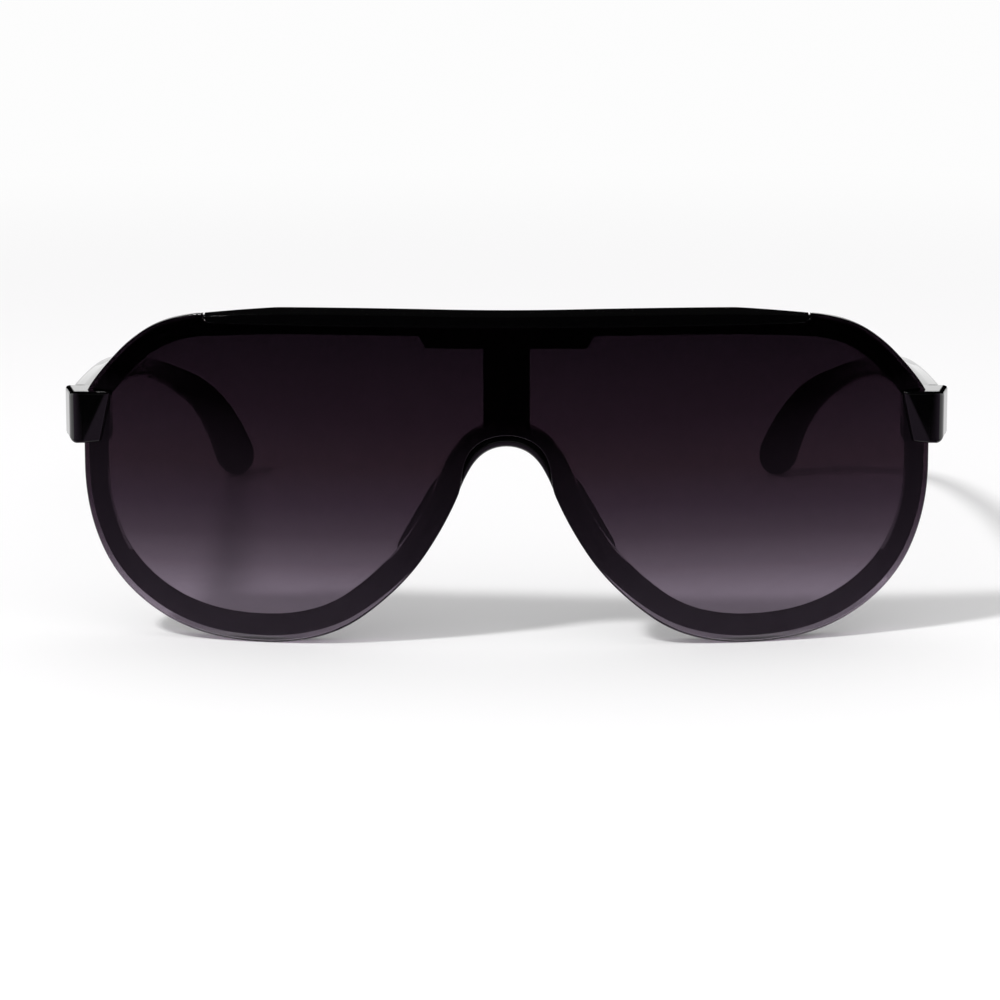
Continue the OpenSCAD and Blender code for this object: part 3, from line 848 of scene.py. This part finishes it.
def build_endpiece():
    """The right endpiece: a claw in front of the lens and the block that holds the hinge"""
    end, lens = sizes("endpiece"), sizes("lens")
    x, z, back = FRONT_BOX[1].x, HINGE_AXIS.z, FRONT_BOX[1].y
    claw_x = x - end.claw_width
    front = wall_y(0.0, claw_x) - end.claw_thickness
    slot = wall_y(lens.thickness, claw_x)
    piece = box("endpiece", (min(claw_x, end.inner_x), front, z - end.height / 2),
                (x, back, z + end.height / 2))
    for y in (slot - end.claw_step, slot):
        cut_plane(piece, (0, y, 0), (0, 1, 0), fill=False)
    for v in piece.data.vertices:
        if v.co.x > x - HAIR:
            v.co.x += end.stand - end.flare * (back - v.co.y) / (back - front)
        elif v.co.y > slot - HAIR:
            v.co.x = end.inner_x
        elif v.co.z < z:
            v.co.x = x - end.claw_width * end.foot_share
        if v.co.z > z:
            v.co.z -= (v.co.y - front) * math.tan(end.top_slope)
    turn = Matrix.Rotation(-end.facet_lean, 3, "Y") @ Matrix.Rotation(-end.facet_turn, 3, "Z")
    cut_plane(piece, (x - end.claw_width * end.facet_share, front, z), turn @ Vector((0, -1, 0)))
    side = x + end.stand - end.flare - HAIR

    def width_of(edge, middle):
        if corner(edge) < TURN:
            return 0.0
        if middle.x > side and middle.y < front + HAIR:
            return end.corner_round
        if middle.x > side and middle.y < back - HAIR:
            return end.side_round
        return end.edge_round if is_corner(edge) and middle.y < back - HAIR else end.crisp_round
    round_by_width(piece, width_of)
    return piece


def build_frame():
    """The moulded front frame behind the lens"""
    rims = sizes("rims")
    base = lens_outline()
    lips = [rims.lip * (1 - fade(r, rims.lip_from, rims.lip_to)) for r in from_nose(base)]
    outer = inset(base, lips)
    body = wrap(build_rims(outer))
    arch = wrap(build_arch(base))
    pad, endpiece = build_pad(), build_endpiece()
    parts = [body, arch, pad, mirrored(pad, "left_pad"), endpiece,
             mirrored(endpiece, "left_endpiece")]
    piece = join(parts)
    piece.name = piece.data.name = "frame"
    dress(piece, "front", ["front_frame"], "frame_black", black_plastic())


def build_bar():
    """The bevelled front of the brow bar with its flange over the lens"""
    lens, rims, brow = sizes("lens"), sizes("rims"), sizes("brow")
    half, foot = brow.width / 2, lens.height - brow.height
    radius = brow.height * brow.corner_share
    top = [p for p in lens_outline() if abs(p.x) < half and over_brow(p)]
    top.sort(key=lambda p: p.x)
    edge_z = top[-1].y - SLIVER
    corner_line = [(x, z) for x, z in arc((half - radius, foot + radius), radius, -90)
                   if z < edge_z - SLIVER]
    right = corner_line + [(half, edge_z)]
    loop = [(p.x, p.y) for p in top] + list(reversed(right)) + [(-x, z) for x, z in right]
    front = -lens.gap - brow.thickness
    bar = plate("brow", loop, front, -lens.gap)
    behind = lens.thickness + lens.gap
    back = behind + rims.rim_thickness
    strip = [(p.x, p.y) for p in top] + [(p.x, p.y - brow.cap) for p in reversed(top)]
    combine(bar, plate("flange", strip, -lens.gap - brow.thickness / 2, back), "UNION")

    def in_front(edge, middle):
        return middle.y < front + HAIR and is_corner(edge)

    def on_top(edge):
        return all(v.co.z > edge_z - 2 * SLIVER for v in edge.verts)
    round_edges(bar, lambda edge, middle: in_front(edge, middle) and on_top(edge),
                brow.top_round)
    round_edges(bar, in_front, brow.bevel, 4)
    slice_across(bar)
    for v in bar.data.vertices:
        run = min(1.0, (half - abs(v.co.x)) / brow.end_run)
        v.co.y = min(v.co.y, behind + (back - behind) * run)
        if v.co.z > min(top, key=lambda p: abs(p.x - v.co.x)).y - brow.top_depth:
            v.co.z -= (back - v.co.y) * math.tan(brow.top_slope)
    return wrap(bar)


def build_brow_bar():
    """The brow bar and its staked pegs"""
    lens, rims, brow = sizes("lens"), sizes("rims"), sizes("brow")
    back = lens.thickness + lens.gap + rims.rim_thickness
    parts = [build_bar()]
    z = lens.height - brow.peg_drop
    across = (math.pi / 2, 0, 0)
    for share in PEG_SHARES:
        x = share * brow.width
        y = wall_y(back, abs(x) + brow.head_diameter / 2) + brow.head_gap
        middle = y + brow.head_thickness / 2
        peg = rod("peg", (x, middle - brow.peg_length / 2, z), brow.peg_diameter,
                  brow.peg_length, across, sides=32)
        head = rod("peg_head", (x, middle, z), brow.head_diameter, brow.head_thickness,
                   across, sides=48)
        end = y + brow.head_thickness - HAIR
        round_edges(head, lambda edge, middle, end=end: middle.y > end, brow.head_round, 4)
        parts += [peg, head]
    dress(join(parts), "front", ["brow_bar"], "brow_black", black_plastic())


def temple_line():
    """Control points of the right temple's centre line, with its height and thickness there"""
    t = sizes("temple")
    shares = [(0, 0, 0, t.root_height - t.root_step, t.thickness),
              (0.264, 0.03, 0, t.root_height * 0.77, t.thickness),
              (0.619, 0.19, 0.014, t.waist * 1.1, t.tip_thickness),
              (0.885, 0.394, 0.212, t.waist * 0.9, t.tip_thickness),
              (0.989, 0.676, 0.798, t.paddle * 0.86, t.tip_thickness),
              (1, 1, 1, t.paddle, t.tip_thickness)]
    start = TEMPLE_BOX[0].y
    return smooth_line([(start + y * t.length, HINGE_AXIS.z - drop * t.drop,
                         TEMPLE_BOX[1].x - t.thickness / 2 - tuck * t.tuck, high, thick)
                        for y, drop, tuck, high, thick in shares], TEMPLE_STEPS)


def temple_ring(c, t, shrink=0.0):
    """A rounded section of the temple, square to its line, like a strip bent in only sideways"""
    high, wide = c[3] / 2 - shrink, c[4] / 2 - shrink
    radius = sizes("temple").edge_share * min(c[3], c[4]) - shrink / 2
    level, n = math.hypot(t[0], t[2]), math.hypot(t[0], t[1], t[2])
    ty, tx, fall, rise = t[0] / level, t[2] / level, t[1] / n, level / n
    ring = []
    for quarter, (sx, sz) in enumerate(((1, 1), (-1, 1), (-1, -1), (1, -1))):
        middle = (sx * (wide - radius), sz * (high - radius))
        for u, v in arc(middle, radius, 90 * quarter, steps=6):
            ring.append(Vector((c[2] + ty * u - tx * fall * v, c[0] - tx * u - ty * fall * v,
                                c[1] + rise * v)))
    return ring


def build_temples():
    """The two temples, swept from the hinge to the tip behind the ear"""
    sizes_t = sizes("temple")
    line = temple_line()
    last = len(line) - 1
    ahead = (1, 0, 0)
    first = line[0].copy()
    rows = [temple_ring(first, ahead, sizes_t.root_round)]
    for turn in (30, 60, 90):
        a = math.radians(turn)
        at = first.copy()
        at[0] += sizes_t.root_round * (1 - math.cos(a))
        rows.append(temple_ring(at, ahead, sizes_t.root_round * (1 - math.sin(a))))
    for i in range(2, last + 1):
        rows.append(temple_ring(line[i], line[min(i + 1, last)] - line[i - 1]))
    heading = line[last] - line[last - 1]
    unit = heading / heading.length
    for turn in range(8, 89, 8):
        a = math.radians(turn)
        at = line[last] + unit * sizes_t.tip_length * math.sin(a)
        at[3] = line[last][3] * math.cos(a)
        at[4] = sizes_t.tip_thickness * (1 + math.cos(a)) / 2
        rows.append(temple_ring(at, unit))
    right = sleeve("right_arm_temple", rows)
    left = mirrored(right, "left_arm_temple")
    for side, piece in (("right", right), ("left", left)):
        dress(piece, f"{side}_arm", [f"{side}_temple"], "temple_black", black_plastic(),
              smooth=40.0)


def knuckle(number, reach):
    """One knuckle of the barrel, counted from below, with the web that carries it"""
    hinge = sizes("hinge")
    high = (hinge.barrel_height - (KNUCKLES - 1) * hinge.knuckle_gap) / KNUCKLES
    z = HINGE_AXIS.z - hinge.barrel_height / 2 + number * (high + hinge.knuckle_gap) + high / 2
    x, y = HINGE_AXIS.x, HINGE_AXIS.y
    tube = rod("knuckle", (x, y, z), hinge.barrel_diameter, high)
    low, up = reach
    web = box("web", (low[0], low[1], z - high / 2), (up[0], up[1], z + high / 2))
    combine(tube, web, "UNION")
    bore = rod("bore", (x, y, z), hinge.screw_diameter + hinge.screw_play, 2 * high)
    combine(tube, bore, "DIFFERENCE")
    round_edges(tube, lambda edge, middle: is_corner(edge) and is_level(edge, 2),
                hinge.edge_round, 2)
    return tube


def build_front_hinge():
    """The right front leaf: a plate sunk in the endpiece and three knuckles"""
    hinge = sizes("hinge")
    x, y, z = HINGE_AXIS
    radius = hinge.barrel_diameter / 2
    face = FRONT_BOX[1].y
    high = hinge.barrel_height + hinge.leaf_thickness
    plate_x = x + radius - hinge.plate_width
    base = box("plate", (plate_x, face + hinge.plate_proud - hinge.leaf_thickness, z - high / 2),
               (x + radius, face + hinge.plate_proud, z + high / 2))
    round_edges(base, lambda edge, middle: middle.y > face, hinge.edge_round, 2)
    web = ((x - radius, face), (x + radius, y))
    return join([base, *[knuckle(number, web) for number in range(0, KNUCKLES, 2)]])


def leaf_outer():
    """X of the side of a right temple leaf that lies against the temple"""
    return TEMPLE_BOX[1].x - sizes("temple").thickness + sizes("hinge").leaf_sink


def build_temple_hinge():
    """The right temple leaf with its two knuckles"""
    hinge, outer = sizes("hinge"), leaf_outer()
    x, y, z = HINGE_AXIS
    radius = hinge.barrel_diameter / 2
    half = (hinge.barrel_height - hinge.leaf_thickness) / 2
    round_off = 2 * half / 3
    far = y + hinge.leaf_length - round_off
    loop = [(y + radius, z - half), (y + radius, z + half)]
    loop += arc((far, z + half - round_off), round_off, 90, -90)
    loop += arc((far, z - half + round_off), round_off, 0, -90)
    leaf = plate("leaf", loop, 0.0, hinge.leaf_thickness)
    leaf.data.transform(Matrix(((0, 1, 0, outer - hinge.leaf_thickness), (1, 0, 0, 0),
                                (0, 0, 1, 0), (0, 0, 0, 1))))
    leaf.data.flip_normals()
    inner = outer - hinge.leaf_thickness + HAIR
    round_edges(leaf, lambda edge, middle: middle.x < inner and is_corner(edge),
                hinge.edge_round, 2)
    web = ((x, y), (outer, y + radius + hinge.leaf_thickness))
    return join([leaf, *[knuckle(number, web) for number in range(1, KNUCKLES, 2)]])


def build_screw():
    """A slotted hinge screw"""
    hinge = sizes("hinge")
    x, y, z = HINGE_AXIS
    top = z + hinge.barrel_height / 2
    shank = rod("screw", (x, y, z), hinge.screw_diameter, hinge.barrel_height)
    head = rod("screw_head", (x, y, top + hinge.screw_head_thickness / 2), hinge.screw_head,
               hinge.screw_head_thickness)
    end = top + hinge.screw_head_thickness - HAIR
    round_edges(head, lambda edge, middle: middle.z > end and is_corner(edge),
                hinge.screw_head_round)
    slot = box("slot", (x - hinge.screw_head, y - hinge.slot_width / 2,
                        top + hinge.screw_head_thickness / 2),
               (x + hinge.screw_head, y + hinge.slot_width / 2,
                top + 2 * hinge.screw_head_thickness))
    combine(head, slot, "DIFFERENCE")
    return join([shank, head])


def build_rivets():
    """Two rivets with domed heads"""
    hinge = sizes("hinge")
    inner = leaf_outer() - hinge.leaf_thickness
    y, z = HINGE_AXIS.y, HINGE_AXIS.z
    middle = inner - hinge.rivet_head_thickness / 2
    end = inner - hinge.rivet_head_thickness + HAIR
    along = (0, math.pi / 2, 0)
    parts = []
    for i in range(2):
        at = y + hinge.rivet_first + i * hinge.rivet_step
        head = rod("rivet_head", (middle, at, z), hinge.rivet_head, hinge.rivet_head_thickness,
                   along)
        round_edges(head, lambda edge, middle: is_corner(edge) and middle.x < end,
                    hinge.rivet_head_round, 5)
        shank = rod("rivet", (middle + hinge.rivet_length / 2, at, z), hinge.rivet_diameter,
                    hinge.rivet_length, along, sides=32)
        parts += [head, shank]
    return join(parts)


def build_hinges():
    """The hinge halves, screws and rivets on both sides"""
    finish = sizes("finish")
    satin = steel("Hinge steel", finish.steel, finish.steel_roughness, finish.steel_grain)
    bright = steel("Fastener steel", finish.fastener, finish.fastener_roughness,
                   finish.fastener_grain)
    kinds = (("front_hinge", build_front_hinge, "front", "hinge_steel", satin),
             ("temple_hinge", build_temple_hinge, "arm", "hinge_steel", satin),
             ("hinge_screw", build_screw, "front", "fastener_steel", bright),
             ("temple_rivets", build_rivets, "arm", "fastener_steel", bright))
    for kind, build, body, slot, material in kinds:
        right = build()
        right.name = right.data.name = f"right_{kind}_made"
        left = mirrored(right, f"left_{kind}_made")
        for side, piece in (("right", right), ("left", left)):
            rides = body if body == "front" else f"{side}_arm"
            dress(piece, rides, [f"{side}_{kind}"], slot, material, smooth=35.0)


# The stage

def matte(name):
    """A matte material, with its node tree, its shader and the place of each point"""
    material, tree, shader = new_material(name)
    feed(shader, {"Roughness": 1.0, "Specular IOR Level": 0.0})
    at = add(tree, "ShaderNodeTexCoord").outputs["Object"]
    return material, tree, shader, at


def blend(tree, value, start, end, first, last):
    """A colour that turns from the first to the last between two values"""
    share = add(tree, "ShaderNodeMapRange", {"Value": value, "From Min": start, "From Max": end})
    tone = add(tree, "ShaderNodeMix", {"Factor": share.outputs["Result"], "A": (*first, 1),
                                       "B": (*last, 1)}, data_type="RGBA")
    return tone.outputs["Result"]


def floor_paint():
    """A pale floor that fades to the white background far from the object, painted darker near the
    key light and lighter away from it to even out that light
    """
    stage = sizes("stage")
    material, tree, shader, at = matte("Floor")
    parts = add(tree, "ShaderNodeSeparateXYZ", {0: at})
    # Painted shade and light: darker near the key light, lighter away from it, so that the floor
    # looks evenly lit
    feed(shader, {"Base Color": blend(tree, parts.outputs["X"], -stage.floor_blend,
                                      stage.floor_blend, stage.floor_dimmed_near_key, stage.floor_lifted_from_key)})
    away = add(tree, "ShaderNodeVectorMath", {0: at}, operation="LENGTH")
    share = add(tree, "ShaderNodeMapRange", {
        "Value": away.outputs["Value"], "From Min": stage.floor_near,
        "From Max": stage.floor_far}, interpolation_type="SMOOTHSTEP")
    # The background lights nothing
    rays = add(tree, "ShaderNodeLightPath")
    shown = add(tree, "ShaderNodeMath", {0: share.outputs["Result"],
                                         1: rays.outputs["Is Diffuse Ray"]},
                operation="SUBTRACT", use_clamp=True)
    white = add(tree, "ShaderNodeEmission", {"Color": (1, 1, 1, 1), "Strength": stage.background})
    both = add(tree, "ShaderNodeMixShader", {0: shown.outputs[0], 1: shader.outputs[0],
                                             2: white.outputs[0]})
    feed(tree.nodes["Material Output"], {"Surface": both.outputs[0]})
    return material


def build_reflection_card():
    """A painted reflection: a sheet over the floor in front, seen only by glossy rays, grey beside
    the lens and black further off, which darkens what polished surfaces show
    """
    stage = sizes("stage")
    deselect()
    bpy.ops.mesh.primitive_plane_add(size=stage.card_width, location=(
        0, APEX_Y - stage.card_width / 2, stage.card_lift))
    card = named("painted_reflection_card")
    bpy.ops.object.transform_apply(location=True, rotation=False, scale=False)
    material, tree, shader, at = matte("Painted reflection card")
    parts = add(tree, "ShaderNodeSeparateXYZ", {0: at})
    # Painted reflection: grey beside the lens, darkening to black over the card's length
    feed(shader, {"Base Color": blend(tree, parts.outputs["Y"], APEX_Y, APEX_Y - stage.reflection_card_fade,
                                      stage.reflection_card_near, stage.reflection_card_far)})
    card.data.materials.append(material)
    card.visible_camera = card.visible_diffuse = card.visible_shadow = False
    card.visible_transmission = card.visible_volume_scatter = False


def build_camera(aim):
    """The camera, at the photograph's angle"""
    stage = sizes("stage")
    up = stage.camera_height
    deselect()
    bpy.ops.object.camera_add(location=aim + stage.camera_distance *
                              Vector((0, -math.cos(up), math.sin(up))),
                              rotation=(math.pi / 2 - up, 0, 0))
    camera = bpy.context.object
    camera.data.lens = stage.focal_length
    camera.data.shift_x = stage.camera_shift
    camera.data.clip_start, camera.data.clip_end = CLIP
    bpy.context.scene.camera = camera


def build_key_light():
    """The soft light from the left"""
    stage = sizes("stage")
    deselect()
    bpy.ops.object.light_add(type="AREA", location=stage.key_place)
    lamp = bpy.context.object
    lamp.name = lamp.data.name = "key_light"
    lamp.data.shape = "SQUARE"
    lamp.data.size = stage.key_width
    lamp.data.energy = stage.key_power
    lamp.rotation_euler = (-Vector(stage.key_place)).to_track_quat("-Z", "Y").to_euler()
    lamp.visible_camera = False


def build_room(to_key):
    """The light from all round. Polished surfaces show only painted reflections, which light
    nothing: a bright low wall under a dark room, and a painted highlight round the key light
    """
    stage = sizes("stage")
    world = bpy.data.worlds.new("Studio")
    bpy.context.scene.world = world
    world.use_nodes = True
    tree = world.node_tree

    def ramp(value, start, end, low, high, way="LINEAR"):
        return add(tree, "ShaderNodeMapRange", {
            "Value": value, "From Min": start, "From Max": end, "To Min": low, "To Max": high},
                   interpolation_type=way).outputs["Result"]
    to_wall = add(tree, "ShaderNodeTexCoord").outputs["Generated"]
    parts = add(tree, "ShaderNodeSeparateXYZ", {0: to_wall})
    sideways = add(tree, "ShaderNodeMath", {0: parts.outputs["X"]}, operation="ABSOLUTE")
    towards = add(tree, "ShaderNodeVectorMath", {0: to_wall, 1: to_key}, operation="DOT_PRODUCT")
    # Painted reflection: glossy rays see a bright low wall under a dark room
    wall = ramp(parts.outputs["Z"], math.sin(stage.wall_top),
                math.sin(stage.wall_soft * stage.wall_top), stage.painted_room_reflection,
                stage.painted_wall_reflection, "SMOOTHSTEP")
    ahead = ramp(parts.outputs["Y"], -stage.wall_blend, stage.wall_blend, stage.wall_behind, 1.0)
    narrow = ramp(sideways.outputs[0], stage.wall_half, stage.wall_end, 1.0, 0.0)
    # Painted highlight: a bright disc round the key light's direction that only glossy rays see
    painted_glint = ramp(towards.outputs["Value"], math.cos(stage.painted_glint_outer),
                 math.cos(stage.painted_glint_inner), 0.0, stage.painted_key_glint, "SMOOTHSTEP")
    within = add(tree, "ShaderNodeMath", {0: ahead, 1: narrow}, operation="MULTIPLY")
    room = add(tree, "ShaderNodeMath", {0: wall, 1: within.outputs[0], 2: painted_glint},
               operation="MULTIPLY_ADD")
    rays = add(tree, "ShaderNodeLightPath")
    # Only glossy rays see the painted reflections; all other rays get the even light from all
    # round
    glossy = add(tree, "ShaderNodeMix", {"Factor": rays.outputs["Is Glossy Ray"],
                                         "A": stage.world, "B": room.outputs[0]})
    seen = add(tree, "ShaderNodeMix", {"Factor": rays.outputs["Is Camera Ray"],
                                       "A": glossy.outputs["Result"], "B": stage.background})
    feed(tree.nodes["Background"], {"Color": (1, 1, 1, 1), "Strength": seen.outputs["Result"]})


def build_stage():
    """Camera, floor and lights"""
    stage = sizes("stage")
    aim = Vector((0, APEX_Y, stage.aim_height))
    build_camera(aim)
    deselect()
    bpy.ops.mesh.primitive_plane_add(size=stage.floor_width)
    floor = named("floor")
    floor.data.materials.append(floor_paint())
    build_reflection_card()
    build_key_light()
    build_room((Vector(stage.key_place) - aim).normalized())
    bpy.context.scene.view_settings.view_transform = "Standard"


# Operators and the panel

class SUNGLASSES_OT_stage(bpy.types.Operator):
    """Sets up the camera, the floor and the lights"""

    bl_idname = "sunglasses.stage"
    bl_label = "Stage"

    def execute(self, context):
        build_stage()
        return {"FINISHED"}


class SUNGLASSES_OT_lens(bpy.types.Operator):
    """Makes the curved smoke lens"""

    bl_idname = "sunglasses.lens"
    bl_label = "Lens"

    def execute(self, context):
        build_lens()
        return {"FINISHED"}


class SUNGLASSES_OT_frame(bpy.types.Operator):
    """Makes the front frame with its nose arch, pads and endpieces"""

    bl_idname = "sunglasses.frame"
    bl_label = "Frame"

    def execute(self, context):
        build_frame()
        return {"FINISHED"}


class SUNGLASSES_OT_brow_bar(bpy.types.Operator):
    """Makes the brow bar over the lens"""

    bl_idname = "sunglasses.brow_bar"
    bl_label = "Brow Bar"

    def execute(self, context):
        build_brow_bar()
        return {"FINISHED"}


class SUNGLASSES_OT_temples(bpy.types.Operator):
    """Makes the two temples"""

    bl_idname = "sunglasses.temples"
    bl_label = "Temples"

    def execute(self, context):
        build_temples()
        return {"FINISHED"}


class SUNGLASSES_OT_hinges(bpy.types.Operator):
    """Makes the hinge halves, screws and rivets"""

    bl_idname = "sunglasses.hinges"
    bl_label = "Hinges"

    def execute(self, context):
        build_hinges()
        return {"FINISHED"}


OPERATORS = [SUNGLASSES_OT_stage, SUNGLASSES_OT_lens, SUNGLASSES_OT_frame,
             SUNGLASSES_OT_brow_bar, SUNGLASSES_OT_temples, SUNGLASSES_OT_hinges]


class SUNGLASSES_PT_panel(bpy.types.Panel):
    """Lists the sizes and the pieces"""

    bl_label = "Shield Sunglasses"
    bl_space_type = "VIEW_3D"
    bl_region_type = "UI"
    bl_category = "Sunglasses"

    def draw(self, context):
        for group, kind in SIZES.items():
            column = self.layout.box().column()
            column.label(text=group.title())
            for key in kind.__annotations__:
                column.prop(getattr(context.scene, f"sunglasses_{group}"), key)
        for made in OPERATORS:
            self.layout.operator(made.bl_idname)


def register():
    for kind in [*SIZES.values(), *OPERATORS, SUNGLASSES_PT_panel]:
        bpy.utils.register_class(kind)
    for group, kind in SIZES.items():
        setattr(bpy.types.Scene, f"sunglasses_{group}", PointerProperty(type=kind))


def unregister():
    for group in SIZES:
        delattr(bpy.types.Scene, f"sunglasses_{group}")
    for kind in [SUNGLASSES_PT_panel, *reversed(OPERATORS), *reversed(SIZES.values())]:
        bpy.utils.unregister_class(kind)


def main():
    """Builds everything"""
    register()
    bpy.ops.sunglasses.stage()
    bpy.ops.sunglasses.lens()
    bpy.ops.sunglasses.frame()
    bpy.ops.sunglasses.brow_bar()
    bpy.ops.sunglasses.temples()
    bpy.ops.sunglasses.hinges()


if __name__ == "__main__":
    main()
